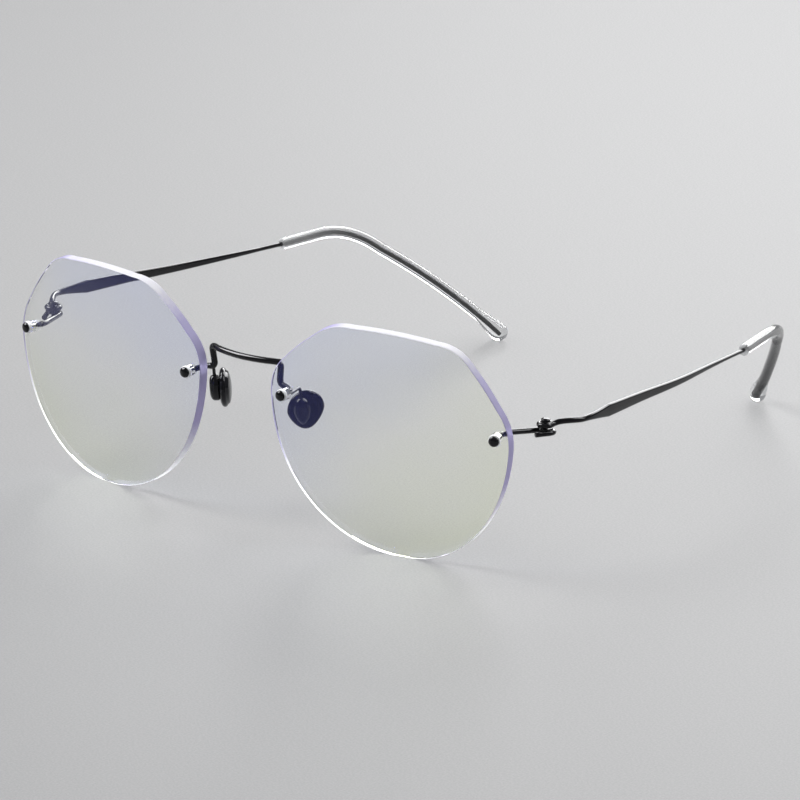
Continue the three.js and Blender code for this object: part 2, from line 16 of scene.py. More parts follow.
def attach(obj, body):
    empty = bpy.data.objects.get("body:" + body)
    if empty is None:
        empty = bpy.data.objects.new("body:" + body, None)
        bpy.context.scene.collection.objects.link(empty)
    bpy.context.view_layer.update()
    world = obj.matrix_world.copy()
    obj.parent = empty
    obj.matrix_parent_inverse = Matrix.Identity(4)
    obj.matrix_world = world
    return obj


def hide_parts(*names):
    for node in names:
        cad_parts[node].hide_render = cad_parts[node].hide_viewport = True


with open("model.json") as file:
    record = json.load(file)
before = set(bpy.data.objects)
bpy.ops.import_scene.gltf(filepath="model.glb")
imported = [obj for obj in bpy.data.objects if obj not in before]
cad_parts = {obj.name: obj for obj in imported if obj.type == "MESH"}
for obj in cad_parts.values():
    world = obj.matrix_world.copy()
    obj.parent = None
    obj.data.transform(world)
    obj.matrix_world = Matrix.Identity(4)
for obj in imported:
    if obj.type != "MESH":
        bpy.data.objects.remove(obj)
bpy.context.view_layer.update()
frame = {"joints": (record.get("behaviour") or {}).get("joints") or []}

MM = 0.001
NEAR_AXIS = 0.001

# ------------------------------------------------------------------------------ dimensions

# Lens
BASE_RADIUS = 132.0
LENS_THICKNESS = 2.1
LENS_CENTRE = (36.0, 24.3)
WRAP = math.radians(8.5)
TILT = math.radians(4.36)
TOP_NASAL = (-12.8, 23.7)
TOP_TEMPORAL = (16.4, 22.9)
SIDE_TEMPORAL = (28.2, 7.0)
SIDE_NASAL = (-27.0, 11.4)
LENS_FOOT = (3.3, -24.7)
TEMPORAL_DROP = (-0.35, -4.9)
NASAL_DROP = (0.18, -4.9)
# Handles of the two lower curves, first from the drop and then from the foot
LOWER_TEMPORAL_HANDLES = ((-1.0, -14.5), (14.4, 0.0))
LOWER_NASAL_HANDLES = ((0.7, -19.1), (-15.6, 0.0))
CORNER_TRIM = 5.0
BROW_RISE = 0.95
FACET_RISE = 0.46
EDGE_CHAMFER = 0.13
FACE_RINGS = (0.12, 0.25, 0.4, 0.55, 0.7, 0.82, 0.91, 0.965, 1.0)

# Lens mounts
NASAL_HOLE = (-23.6, 6.4)
TEMPORAL_HOLE = (24.95, 4.8)
HOLE_RADIUS = 1.2
HOLE_DRILL = 8.0
SLEEVE_RADIUS = 1.1
SLEEVE_BORE = 0.87
SLEEVE_END = 2.1
FLANGE_RADIUS = 1.28
FLANGE_THICKNESS = 0.62
BUSHING_ROUNDS = (0.06, 0.16, 0.08, 0, 0.06, 0.06)
MOUNT_WASHER_FRONT = 2.25
MOUNT_WASHER_BACK = 2.75
MOUNT_WASHER_ROUNDS = (0.06, 0.1, 0.16, 0.06)
CAP_RADIUS = 1.12
CAP_HEIGHT = 0.8
CAP_WALL = 0.12
CAP_ROUND = 0.07
CAP_ROUND_INSET = 0.02
FIT_GAP = 0.1
FLANGE_FRONT = -FIT_GAP - FLANGE_THICKNESS
STUD_FRONT = FLANGE_FRONT + 0.05

# Wires
BRIDGE_CORNERS = ((12.25, 2.65, 31.2), (8.75, 3.05, 31.6), (9.35, 2.55, 36.15), (6.6, 1.7, 36.1))
BRIDGE_TRIMS = (1.0, 1.2, 1.05)
BRIDGE_WIRE = 0.68
BRIDGE_TAPER = (4.2, 7.4)
ENDPIECE_BEND = 4.7
ENDPIECE_TRIM = 1.7
ENDPIECE_WIRE = 0.6
ENDPIECE_TAPER = (3.4, 4.6)
PAD_ARM_BEND = 3.2
PAD_ARM_TRIMS = (0.8, 1.1)
PAD_ARM_WIRE = 0.34
PAD_ARM_TAPER = (3.0, 4.0)
STUD_RADIUS = 0.3
TWIN_OFFSET = 0.43

# Hinge
HINGE = (63.6, 18.8)
# y of the lens plane in the part's own frame, found from the left hinge
LENS_PLANE = frame["joints"][0]["pos_m"][1] / MM - HINGE[1]
HOOK_Z = 28.6
HOOK_RADIUS = 1.35
HOOK_REACH = 0.4
HOOK_WIRE = 0.55
HOOK_TAPER = (8.5, 6.5)
HOOK_TAIL = 2.9
PIN_RADIUS = 0.42
PIN_FOOT_ROUND = 0.1
PIN_HEAD_RADIUS = 1.0
PIN_HEAD_CHAMFER = 0.04
PIN_HEAD_EDGE = 0.12
PIN_HEAD_DOME = 0.31
RING_BORE = 0.55
SPACER_RADIUS = 1.6
SPACER_HEIGHT = 0.3
SPACER_ROUNDS = (0.04, 0.12, 0.12, 0.04)
WASHER_RADIUS = 1.2
WASHER_HEIGHT = 0.2
WASHER_ROUNDS = (0.03, 0.07, 0.07, 0.03)
LOOP_RADIUS = 1.35
LOOP_WIRE = 0.52
LOOP_TAPER = (6.0, 9.0)
LOOP_EXIT = (LOOP_RADIUS + 0.08, 1.2, 0.2)
SPACER_LOW = HOOK_Z + HOOK_WIRE + FIT_GAP
LOOP_Z = SPACER_LOW + SPACER_HEIGHT + FIT_GAP + LOOP_WIRE
WASHER_LOW = LOOP_Z + LOOP_WIRE + FIT_GAP

# Temple
JOG = ((65.75, 20.95, 30.7), (68.2, 24.95, 30.7))
BLADE = (
    (68.45, 27.65, 30.65),
    (67.9, 34.85, 30.25),
    (66.6, 48.05, 29.65),
    (64.9, 65.05, 28.7),
    (62.8, 81.05, 28.2),
)
SLEEVE_ENTRY = (61.3, 94.65, 27.8)
BLADE_FLARE_Y = 26.0
BLADE_WIDEST_Y = BLADE[1][1]
BLADE_SLIM_Y = 88.0
BLADE_FLARE_BEND = 0.4
BLADE_SLIM_BEND = -0.2
BLADE_HALF_HEIGHT = 1.42
BLADE_HALF_THICKNESS = 0.54
ARM_RADIUS = 0.6
TEMPLE_SIDES = 40
CORE_RADIUS = 0.46
CORE_SHORT = 1.6
CORE_GRIP = 0.03

# Temple tip
TIP_BEND = (57.9, 114.95, 28.3)
TIP_END = (33.9, 142.75, 0.55)
TIP_BEND_TRIM = 9.5
TIP_BOW = (0.3, 2.2, 1.2)
TIP_HALF_HEIGHT = 1.32
TIP_HALF_WIDTH = 1.12
BULB_SCALE = 1.55
BULB_TAPER = (2.0, 9.0)
TIP_LIP = 0.22
BORE_LIP = 0.1
FROST_LENGTH = 14.0
CLEAR_PAST_BEND = 3.0

# Nose pad
PAD_CENTRE = (10.7, 9.2, 25.15)
PAD_SPLAY = math.radians(35)
PAD_LEAN = math.radians(9.0)
PAD_HALF_WIDTH = 3.95
PAD_HALF_HEIGHT = 4.25
PAD_THICKNESS = 2.5
PAD_TAPER = 0.24
# Back of the pad from its middle outwards, as (share of the thickness, share of the outline)
PAD_BACK = (
    (-0.5, 0.0001),
    (-0.5, 0.35),
    (-0.5, 0.6),
    (-0.494, 0.65),
    (-0.475, 0.685),
    (-0.465, 0.705),
    (-0.455, 0.72),
    (-0.45, 0.745),
    (-0.45, 0.775),
    (-0.455, 0.8),
)
# Middle and radii of the rolled rim, in the same shares
PAD_RIM = (-0.14, 0.76)
PAD_RIM_RADII = (0.3, 0.24)

# Pad box
BOX_HALF_WIDTH = 1.75
BOX_HALF_HEIGHT = 2.9
BOX_RISE = 0.7
BOX_TOP = BOX_RISE + BOX_HALF_HEIGHT
BOX_THICKNESS = 1.8
BOX_FORWARD = 1.35
BOX_BACK = -PAD_THICKNESS / 2 - 0.12 - BOX_THICKNESS
BOX_SEAT = -PAD_THICKNESS / 2 - 0.01
BOX_DOME = 1.0
BOX_DOME_SHARE = 0.48
BOX_RIM = 0.18
BOX_RIM_SCALE = 0.93
BOX_BORE = 0.45
BOX_BORE_DEPTH = 1.15
BOX_DRILL = 4.2
ARM_ABOVE_BOX = 2.4
ARM_INTO_BOX = 1.7

# Looks: ramps are lists of (place on the ramp, colour), sheens tint the reflections, and the
# blends are the places, in metres, between which a ramp runs
TITANIUM_BLACKS = ((0.35, (0.002, 0.002, 0.0025)), (0.65, (0.005, 0.005, 0.006)))
TITANIUM_SHEEN = (0.7, 0.7, 0.72)
PAD_BLACKS = ((0.3, (0.003, 0.003, 0.004)), (0.7, (0.006, 0.006, 0.008)))
PAD_SHEEN = (0.6, 0.6, 0.62)
GLOSS_IOR = 1.5
# Painted reflection: the coating's violet-blue and olive reflections painted into the lens colour by
# place
LENS_PAINTED_REFLECTION_TINTS = ((0.0, (0.91, 0.935, 0.82)), (0.45, (0.93, 0.94, 0.93)), (1.0, (0.84, 0.87, 0.99)))
LENS_BLEND = (-0.012, 0.045)
LENS_OUTWARD_WEIGHT = -0.7
LENS_CLOUD = 0.03
LENS_SHEEN = (0.1, 0.12, 0.75)
LENS_SHADOW = (0.93, 0.94, 0.96)
LENS_IOR = 1.6
# Painted light on the lens edge: white stands in for gathered light, lavender for the coating's
# reflection, and the pale top for how it is lit
EDGE_PAINTED_LIGHT_TINTS = (
    (0.0, (0.95, 0.95, 0.98)),
    (0.22, (0.9, 0.9, 0.97)),
    (0.4, (0.35, 0.3, 0.62)),
    (0.82, (0.4, 0.36, 0.66)),
    (0.93, (0.72, 0.71, 0.77)),
)
EDGE_BLEND = (0.002, 0.052)
EDGE_WANDER = 0.004
# Painted glow: the edge is painted white where its normal faces -X
EDGE_PAINTED_GLOW_FACING = -0.38
EDGE_SHADOW = (0.85, 0.85, 0.9)
EDGE_IOR = 1.5
CLEAR_TINT = (0.97, 0.975, 0.98)
SLEEVE_TINT = (0.97, 0.975, 1.0)
HOLE_TINT = (0.95, 0.95, 1.0)
PLASTIC_IOR = 1.49
SILICONE_IOR = 1.42
PAPER_GREYS = ((0.35, (0.165, 0.165, 0.169)), (0.65, (0.195, 0.195, 0.195)))

# Studio, in metres and watts: each lamp's name, place, width and height, and power
LAMPS = (
    ("side_box", (-0.6, -0.36, 0.71), (0.55, 0.6), 17.5),
    ("back_box", (-0.12, 0.86, 0.48), (1.1, 0.5), 12.5),
    ("right_box", (0.66, 0.3, 0.69), (0.3, 0.5), 3.5),
    ("top_box", (0.16, 0.46, 0.87), (0.3, 0.2), 2.6),
)
LAMP_AIM = Vector((0, 0, 0.02))
SKY_COLOUR = (0.95, 0.97, 1.0)
SKY_STRENGTH = 0.2
FLOOR_HALF = 3.0

# Camera, in metres, with the lens and sensor in millimetres
CAMERA_AZIMUTH = math.radians(35.93)
CAMERA_ELEVATION = math.radians(17.38)
CAMERA_ROLL = math.radians(1.41)
CAMERA_DISTANCE = 1.4
CAMERA_TARGET = Vector((0.0407, LENS_PLANE * MM, 0.0351))
CAMERA_LENS = 312
CAMERA_SENSOR = 36


# ------------------------------------------------------------------------------ mesh helpers


def vec(p, side=1):
    """A point of the left side, mirrored for side -1."""
    return np.array([side * p[0], p[1], p[2]], float)


def lerp(a, b, t):
    return a + (b - a) * t


def step_toward(a, b, length):
    """The point at a given distance from a on the way to b."""
    return a + (b - a) / np.linalg.norm(b - a) * length


def smooth(x, low, high):
    """0 up to low, 1 from high on, and a smooth step between."""
    t = min(max((x - low) / (high - low), 0.0), 1.0)
    return t * t * (3 - 2 * t)


def eased(t, bend):
    """t itself for a bend of 0, late for a positive one and early for a negative one."""
    return t * (1 - bend + bend * t)


def ball_end(left, radius):
    """Share of the full section that is left at a distance from a half-ball end."""
    return math.sqrt(max(0.0, 1 - (1 - min(left / radius, 1)) ** 2))


def round_over(distance, radius):
    """Inset of a rounded edge at a distance from the end."""
    return radius * (1 - ball_end(distance, radius))


def new_piece(name, vertices, faces, materials, face_slots=None, sharp=40):
    """A mesh object from points in millimetres, smooth but for its sharp edges."""
    mesh = bpy.data.meshes.new(name)
    points = np.asarray(vertices, float).copy()
    points[:, 1] += LENS_PLANE
    mesh.from_pydata((points * MM).tolist(), [], faces)
    for material in materials:
        mesh.materials.append(material)
    if face_slots is not None:
        mesh.polygons.foreach_set("material_index", face_slots)
    obj = bpy.data.objects.new(name, mesh)
    bpy.context.scene.collection.objects.link(obj)
    finish_mesh(obj, sharp)
    return obj


def finish_mesh(obj, sharp=40):
    """Turns the faces outwards and marks the edges sharper than the given angle."""
    bm = bmesh.new()
    bm.from_mesh(obj.data)
    bmesh.ops.remove_doubles(bm, verts=bm.verts, dist=1e-7)
    bmesh.ops.recalc_face_normals(bm, faces=bm.faces)
    limit = math.radians(sharp)
    for face in bm.faces:
        face.smooth = True
    for edge in bm.edges:
        if len(edge.link_faces) == 2:
            edge.smooth = edge.calc_face_angle(0) < limit
    bm.to_mesh(obj.data)
    bm.free()


def place(obj, node, body):
    """Puts a finished piece on its body, in place of its CAD node."""
    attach(obj, body)
    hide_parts(node)
    return obj


def rows_to_faces(rows, sides):
    """Quads between successive closed rows of points."""
    faces = []
    for row in range(rows - 1):
        here, there = row * sides, (row + 1) * sides
        for i in range(sides):
            j = (i + 1) % sides
            faces.append((here + i, here + j, there + j, there + i))
    return faces


def lathe(profile, segments=48):
    """Closed turned solid about +Y from (radius, height) pairs.

    A profile that starts on the axis ends on it, and any other closes on itself.
    """
    profile = np.array(profile, float)
    closed_ring = profile[0][0] > 0
    if not closed_ring:
        profile[[0, -1], 0] = NEAR_AXIS
    angles = np.linspace(0, 2 * math.pi, segments, endpoint=False)
    vertices = [(r * math.cos(a), h, r * math.sin(a)) for r, h in profile for a in angles]
    faces = rows_to_faces(len(profile), segments)
    last = (len(profile) - 1) * segments
    if closed_ring:
        for i in range(segments):
            j = (i + 1) % segments
            faces.append((last + i, last + j, j, i))
    else:
        faces.append(tuple(range(segments)))
        faces.append(tuple(last + i for i in range(segments)))
    return np.array(vertices), faces


def rounded_profile(points, radii, steps=5):
    """A profile whose corners are rounded by the given radii."""
    points = [np.array(p, float) for p in points]
    out = []
    for i, (corner, radius) in enumerate(zip(points, radii)):
        if radius == 0:
            out.append(corner)
            continue
        before = step_toward(corner, points[i - 1], radius)
        after = step_toward(corner, points[(i + 1) % len(points)], radius)
        out.extend(quadratic(before, corner, after, steps))
    return out


def turn_points(vertices, matrix):
    """The points moved by a 4x4 matrix."""
    homogeneous = np.hstack([vertices, np.ones((len(vertices), 1))])
    return (homogeneous @ np.array(matrix).T)[:, :3]


# ------------------------------------------------------------------------------ paths


def quadratic(a, b, c, count=24):
    """Points of the curve from a to c with its handle at b."""
    t = np.linspace(0, 1, count + 1)[:, None]
    return (1 - t) ** 2 * a + 2 * t * (1 - t) * b + t * t * c


def cubic(a, b, c, d, count=48):
    """Points of the curve from a to d with its handles at b and c."""
    t = np.linspace(0, 1, count + 1)[:, None]
    return (1 - t) ** 3 * a + 3 * t * (1 - t) ** 2 * b + 3 * t * t * (1 - t) * c + t**3 * d


def straight(a, b):
    return np.array([a, b])


def centripetal(points, count=24):
    """Centripetal Catmull-Rom curve through the points, with its ends continued straight."""
    points = [np.array(p, float) for p in points]
    ends = [2 * points[0] - points[1], *points, 2 * points[-1] - points[-2]]
    out = []
    for i in range(1, len(ends) - 2):
        p0, p1, p2, p3 = ends[i - 1 : i + 3]
        d0, d1, d2 = (math.sqrt(np.linalg.norm(b - a)) for a, b in ((p0, p1), (p1, p2), (p2, p3)))
        t1 = ((p1 - p0) / d0 - (p2 - p0) / (d0 + d1) + (p2 - p1) / d1) * d1
        t2 = ((p2 - p1) / d1 - (p3 - p1) / (d1 + d2) + (p3 - p2) / d2) * d1
        t = np.linspace(0, 1, count + 1)[:, None]
        c2 = -3 * p1 + 3 * p2 - 2 * t1 - t2
        c3 = 2 * p1 - 2 * p2 + t1 + t2
        out.append(p1 + t1 * t + c2 * t * t + c3 * t**3)
    return join(out)


def join(pieces):
    """One polyline from pieces that meet end to end."""
    points = [pieces[0]]
    for piece in pieces[1:]:
        points.append(piece[1:])
    return np.vstack(points)


def rounded_path(points, trims):
    """Polyline whose corners are rounded by the given trims."""
    pieces = []
    start = points[0]
    for i in range(1, len(points) - 1):
        corner, trim = points[i], trims[i - 1]
        before = step_toward(corner, points[i - 1], trim)
        after = step_toward(corner, points[i + 1], trim)
        pieces += [straight(start, before), quadratic(before, corner, after)]
        start = after
    pieces.append(straight(start, points[-1]))
    return join(pieces)


class Path:
    """A polyline measured along its length."""

    SCAN_STEP = 0.05
    APART = 0.03

    def __init__(self, points):
        keep = [0]
        for i in range(1, len(points)):
            if np.linalg.norm(points[i] - points[keep[-1]]) > 1e-4:
                keep.append(i)
        self.points = points[keep]
        steps = np.linalg.norm(np.diff(self.points, axis=0), axis=1)
        self.marks = np.concatenate([[0], np.cumsum(steps)])
        self.length = self.marks[-1]

    def at(self, distance):
        return np.array([np.interp(distance, self.marks, self.points[:, k]) for k in range(3)])

    def tangent(self, distance):
        near = min(0.04, self.length / 50)
        ahead = self.at(min(distance + near, self.length))
        step = ahead - self.at(max(distance - near, 0))
        return step / np.linalg.norm(step)

    def distance_at_y(self, y):
        """Distance at which the path last passes a given y."""
        i = np.where(self.points[:, 1] <= y)[0][-1]
        j = min(i + 1, len(self.points) - 1)
        gap = self.points[j, 1] - self.points[i, 1]
        t = 0 if gap <= 0 else (y - self.points[i, 1]) / gap
        return lerp(self.marks[i], self.marks[j], t)

    def stations(self, max_turn=6.0, max_step=1.5, extra=()):
        """Distances along the path, closer where it bends, with the extra ones among them."""
        fine = np.arange(0, self.length, self.SCAN_STEP)
        found = [0.0]
        last = self.tangent(0)
        for d in fine[1:]:
            tangent = self.tangent(d)
            turn = math.degrees(math.acos(min(1.0, float(tangent @ last))))
            if turn > max_turn or d - found[-1] > max_step:
                found.append(float(d))
                last = tangent
        wanted = [*extra, self.length]
        kept = [d for d in found if all(abs(w - d) > self.APART for w in wanted)]
        return sorted(set([*kept, *wanted]))


def sweep_rows(path, stops, size_at, sides, upright):
    """Closed section rows along a path: two half circles joined by flat sides."""
    up = np.array([0.0, 0, 1])
    carried = up if abs(path.tangent(0)[2]) < 0.9 else np.array([1.0, 0, 0])
    angles = np.linspace(0, 2 * math.pi, sides, endpoint=False)
    half = np.sign(np.round(np.sin(angles), 6))
    rows = []
    for d in stops:
        tangent = path.tangent(d)
        second = up if upright else carried
        second = second - tangent * (second @ tangent)
        second = second / np.linalg.norm(second)
        carried = second
        first = np.cross(second, tangent)
        half_width, half_height = size_at(d)
        across = np.cos(angles) * half_width
        above = np.sin(angles) * half_width + half * (half_height - half_width)
        rows.append(path.at(d) + across[:, None] * first + above[:, None] * second)
    return rows


def sweep(path, size_at, sides=24, upright=False, end_round=0.12, extra=(), **spacing):
    """A solid wire with slightly rounded ends."""
    ends = [end_round * k for k in (0.12, 0.4, 1.0)]
    stops = path.stations(extra=[*extra, *ends, *[path.length - e for e in ends]], **spacing)

    def rounded(d):
        width, height = size_at(d)
        inset = round_over(min(d, path.length - d), end_round)
        return width - inset, height - inset

    rows = sweep_rows(path, stops, rounded, sides, upright)
    faces = rows_to_faces(len(rows), sides)
    last = (len(rows) - 1) * sides
    faces.append(tuple(range(sides)))
    faces.append(tuple(last + i for i in range(sides)))
    return np.vstack(rows), faces


# ------------------------------------------------------------------------------ materials


def shader_material(name):
    """A new node material with its nodes, links and shader."""
    material = bpy.data.materials.new(name)
    material.use_nodes = True
    nodes = material.node_tree.nodes
    return material, nodes, material.node_tree.links, nodes["Principled BSDF"]


def noise(nodes, links, coordinates, scale, detail=3.0, stretch=(1, 1, 1)):
    """A noise texture in millimetres of the object, stretched along chosen axes."""
    mapping = nodes.new("ShaderNodeMapping")
    mapping.inputs["Scale"].default_value = [scale * s / MM for s in stretch]
    links.new(coordinates.outputs["Object"], mapping.inputs["Vector"])
    texture = nodes.new("ShaderNodeTexNoise")
    texture.inputs["Scale"].default_value = 1.0
    texture.inputs["Detail"].default_value = detail
    links.new(mapping.outputs["Vector"], texture.inputs["Vector"])
    return texture.outputs["Fac"]


def ranged(nodes, links, value, low, high, from_low=0.3, from_high=0.7):
    """The value from from_low to from_high, spread over low to high and held there."""
    remap = nodes.new("ShaderNodeMapRange")
    remap.inputs["From Min"].default_value = from_low
    remap.inputs["From Max"].default_value = from_high
    remap.inputs["To Min"].default_value = low
    remap.inputs["To Max"].default_value = high
    links.new(value, remap.inputs["Value"])
    return remap.outputs["Result"]


def weighted(nodes, links, value, weight, base):
    """base + weight * value."""
    node = nodes.new("ShaderNodeMath")
    node.operation = "MULTIPLY_ADD"
    node.inputs[1].default_value = weight
    links.new(value, node.inputs[0])
    links.new(base, node.inputs[2])
    return node.outputs["Value"]


def split_axes(nodes, links, vector):
    """The X, Y and Z of a vector."""
    node = nodes.new("ShaderNodeSeparateXYZ")
    links.new(vector, node.inputs["Vector"])
    return node.outputs


def ramp(nodes, links, value, stops):
    """The colour at a value from 0 to 1 between (place, colour) stops."""
    node = nodes.new("ShaderNodeValToRGB")
    elements = node.color_ramp.elements
    while len(elements) < len(stops):
        elements.new(0.5)
    for element, (position, colour) in zip(elements, stops):
        element.position = position
        element.color = (*colour, 1)
    links.new(value, node.inputs["Fac"])
    return node.outputs["Color"]


def bump(nodes, links, shader, height, distance, strength):
    """Surface relief as deep as the given distance in millimetres."""
    node = nodes.new("ShaderNodeBump")
    node.inputs["Strength"].default_value = strength
    node.inputs["Distance"].default_value = distance * MM
    links.new(height, node.inputs["Height"])
    links.new(node.outputs["Normal"], shader.inputs["Normal"])


def titanium_material():
    """Black plated titanium: glossy, with faint drawing marks and a few duller patches."""
    material, nodes, links, shader = shader_material("black_titanium")
    coordinates = nodes.new("ShaderNodeTexCoord")
    patches = noise(nodes, links, coordinates, 0.35)
    marks = noise(nodes, links, coordinates, 6.0, 4.0, stretch=(1, 0.12, 1))
    links.new(ramp(nodes, links, patches, TITANIUM_BLACKS), shader.inputs["Base Color"])
    links.new(ranged(nodes, links, marks, 0.05, 0.11), shader.inputs["Roughness"])
    bump(nodes, links, shader, marks, 0.004, 0.15)
    shader.inputs["IOR"].default_value = GLOSS_IOR
    shader.inputs["Specular Tint"].default_value = (*TITANIUM_SHEEN, 1)
    return material


def pad_material():
    """Moulded glossy black plastic."""
    material, nodes, links, shader = shader_material("pad_plastic")
    coordinates = nodes.new("ShaderNodeTexCoord")
    haze = noise(nodes, links, coordinates, 0.5)
    grain = noise(nodes, links, coordinates, 4.0, 5.0)
    links.new(ramp(nodes, links, haze, PAD_BLACKS), shader.inputs["Base Color"])
    links.new(ranged(nodes, links, grain, 0.05, 0.13), shader.inputs["Roughness"])
    bump(nodes, links, shader, grain, 0.003, 0.12)
    shader.inputs["IOR"].default_value = GLOSS_IOR
    shader.inputs["Specular Tint"].default_value = (*PAD_SHEEN, 1)
    return material


def let_lamps_through(nodes, links, shader, colour, share):
    """Clear material that casts a light shadow, as thin clear plastic does."""
    path = nodes.new("ShaderNodeLightPath")
    either = nodes.new("ShaderNodeMath")
    either.operation = "MAXIMUM"
    links.new(path.outputs["Is Shadow Ray"], either.inputs[0])
    links.new(path.outputs["Is Diffuse Ray"], either.inputs[1])
    scaled = nodes.new("ShaderNodeMath")
    scaled.operation = "MULTIPLY"
    scaled.inputs[1].default_value = share
    links.new(either.outputs["Value"], scaled.inputs[0])
    clear = nodes.new("ShaderNodeBsdfTransparent")
    clear.inputs["Color"].default_value = (*colour, 1)
    mix = nodes.new("ShaderNodeMixShader")
    links.new(scaled.outputs["Value"], mix.inputs["Fac"])
    links.new(shader.outputs["BSDF"], mix.inputs[1])
    links.new(clear.outputs["BSDF"], mix.inputs[2])
    links.new(mix.outputs["Shader"], nodes["Material Output"].inputs["Surface"])


def lens_material():
    """Clear lens resin with a faint coating, its coating's reflections painted into its colour: violet
    blue by the nose, olive below and outwards.
    """
    material, nodes, links, shader = shader_material("lens_clear")
    coordinates = nodes.new("ShaderNodeTexCoord")
    place_axes = split_axes(nodes, links, coordinates.outputs["Object"])
    outwards = nodes.new("ShaderNodeMath")
    outwards.operation = "ABSOLUTE"
    links.new(place_axes["X"], outwards.inputs[0])
    slope = weighted(nodes, links, outwards.outputs["Value"], LENS_OUTWARD_WEIGHT, place_axes["Z"])
    cloud = noise(nodes, links, coordinates, 0.05, 2.0)
    drift = weighted(nodes, links, cloud, LENS_CLOUD, slope)
    blend = ranged(nodes, links, drift, 0, 1, *LENS_BLEND)
    # painted reflection colour of the coating, by place on the lens
    links.new(ramp(nodes, links, blend, LENS_PAINTED_REFLECTION_TINTS), shader.inputs["Base Color"])
    smear = noise(nodes, links, coordinates, 0.12, 4.0)
    links.new(ranged(nodes, links, smear, 0.0, 0.012), shader.inputs["Roughness"])
    shader.inputs["Transmission Weight"].default_value = 1.0
    shader.inputs["IOR"].default_value = LENS_IOR
    shader.inputs["Specular Tint"].default_value = (*LENS_SHEEN, 1)
    let_lamps_through(nodes, links, shader, LENS_SHADOW, 1.0)
    return material


def edge_material():
    """Polished lens edge, with painted light and a painted reflection in its colour.

    It is painted white below and where it faces -X, standing in for light the lens gathers, painted
    lavender beside for the coating's reflection, and painted pale above.
    """
    material, nodes, links, shader = shader_material("lens_edge")
    coordinates = nodes.new("ShaderNodeTexCoord")
    place_axes = split_axes(nodes, links, coordinates.outputs["Object"])
    polish = noise(nodes, links, coordinates, 0.9, 4.0)
    wander = weighted(nodes, links, polish, EDGE_WANDER, place_axes["Z"])
    height = ranged(nodes, links, wander, 0, 1, *EDGE_BLEND)
    facing = split_axes(nodes, links, coordinates.outputs["Normal"])
    lowered = nodes.new("ShaderNodeMath")
    lowered.operation = "ADD"
    links.new(height, lowered.inputs[0])
    links.new(ranged(nodes, links, facing["X"], EDGE_PAINTED_GLOW_FACING, 0, -1, 0), lowered.inputs[1])
    # the edge's colour is painted light: a white glow, a lavender reflection and a pale top
    links.new(ramp(nodes, links, lowered.outputs["Value"], EDGE_PAINTED_LIGHT_TINTS), shader.inputs["Base Color"])
    links.new(ranged(nodes, links, polish, 0.5, 0.65), shader.inputs["Roughness"])
    bump(nodes, links, shader, polish, 0.004, 0.2)
    shader.inputs["Transmission Weight"].default_value = 0.5
    shader.inputs["IOR"].default_value = EDGE_IOR
    let_lamps_through(nodes, links, shader, EDGE_SHADOW, 0.3)
    return material


def clear_material(name, colour, clearness, roughness, ior, share, alpha=1.0):
    """Clear plastic or silicone with slight haze, which passes a share of the light straight on."""
    material, nodes, links, shader = shader_material(name)
    coordinates = nodes.new("ShaderNodeTexCoord")
    haze = noise(nodes, links, coordinates, 0.6, 3.0)
    darker = tuple(c * 0.95 for c in colour)
    links.new(ramp(nodes, links, haze, [(0.3, darker), (0.7, colour)]), shader.inputs["Base Color"])
    links.new(ranged(nodes, links, haze, *roughness), shader.inputs["Roughness"])
    bump(nodes, links, shader, haze, 0.002, 0.05)
    shader.inputs["Transmission Weight"].default_value = clearness
    shader.inputs["IOR"].default_value = ior
    shader.inputs["Alpha"].default_value = alpha
    let_lamps_through(nodes, links, shader, colour, share)
    return material


def silicone_material():
    """Clear silicone, frosted where the wire enters and clear further down."""
    material = clear_material("clear_silicone", CLEAR_TINT, 1.0, (0.02, 0.06), SILICONE_IOR, 0.8)
    nodes, links = material.node_tree.nodes, material.node_tree.links
    shader = next(node for node in nodes if node.type == "BSDF_PRINCIPLED")
    coordinates = nodes.new("ShaderNodeTexCoord")
    place_axes = split_axes(nodes, links, coordinates.outputs["Object"])
    frosted = (TIP_BEND[1] - FROST_LENGTH + LENS_PLANE) * MM
    cleared = (TIP_BEND[1] + CLEAR_PAST_BEND + LENS_PLANE) * MM
    for socket, low, high in (("Transmission Weight", 0.78, 0.94), ("Roughness", 0.18, 0.1)):
        along = ranged(nodes, links, place_axes["Y"], low, high, frosted, cleared)
        links.new(along, shader.inputs[socket])
    return material


def floor_material():
    """Pale matt paper."""
    material, nodes, links, shader = shader_material("studio_paper")
    coordinates = nodes.new("ShaderNodeTexCoord")
    fibre = noise(nodes, links, coordinates, 2.2, 2.0)
    links.new(ramp(nodes, links, fibre, PAPER_GREYS), shader.inputs["Base Color"])
    shader.inputs["Roughness"].default_value = 0.6
    return material


titanium = titanium_material()
pad_plastic = pad_material()
lens_clear = lens_material()
lens_edge = edge_material()
flange_plastic = clear_material("flange_plastic", CLEAR_TINT, 0.12, (0.05, 0.12), PLASTIC_IOR, 0.4)
sleeve_plastic = clear_material("sleeve_plastic", SLEEVE_TINT, 1.0, (0.01, 0.05), PLASTIC_IOR, 0.9, 0.12)
hole_wall = clear_material("hole_wall", HOLE_TINT, 1.0, (0.02, 0.08), LENS_IOR, 0.9, 0.06)
silicone = silicone_material()


# ------------------------------------------------------------------------------ lens


def lens_pose(side):
    """Placement of a lens, wrapped round the face and tilted forward above."""
    turn = Matrix.Rotation(side * WRAP, 4, "Z") @ Matrix.Rotation(TILT, 4, "X")
    return Matrix.Translation((side * LENS_CENTRE[0], 0, LENS_CENTRE[1])) @ turn


def sag(radius, x, z):
    """How far a spherical face falls back at a point."""
    return radius - np.sqrt(radius * radius - x * x - z * z)


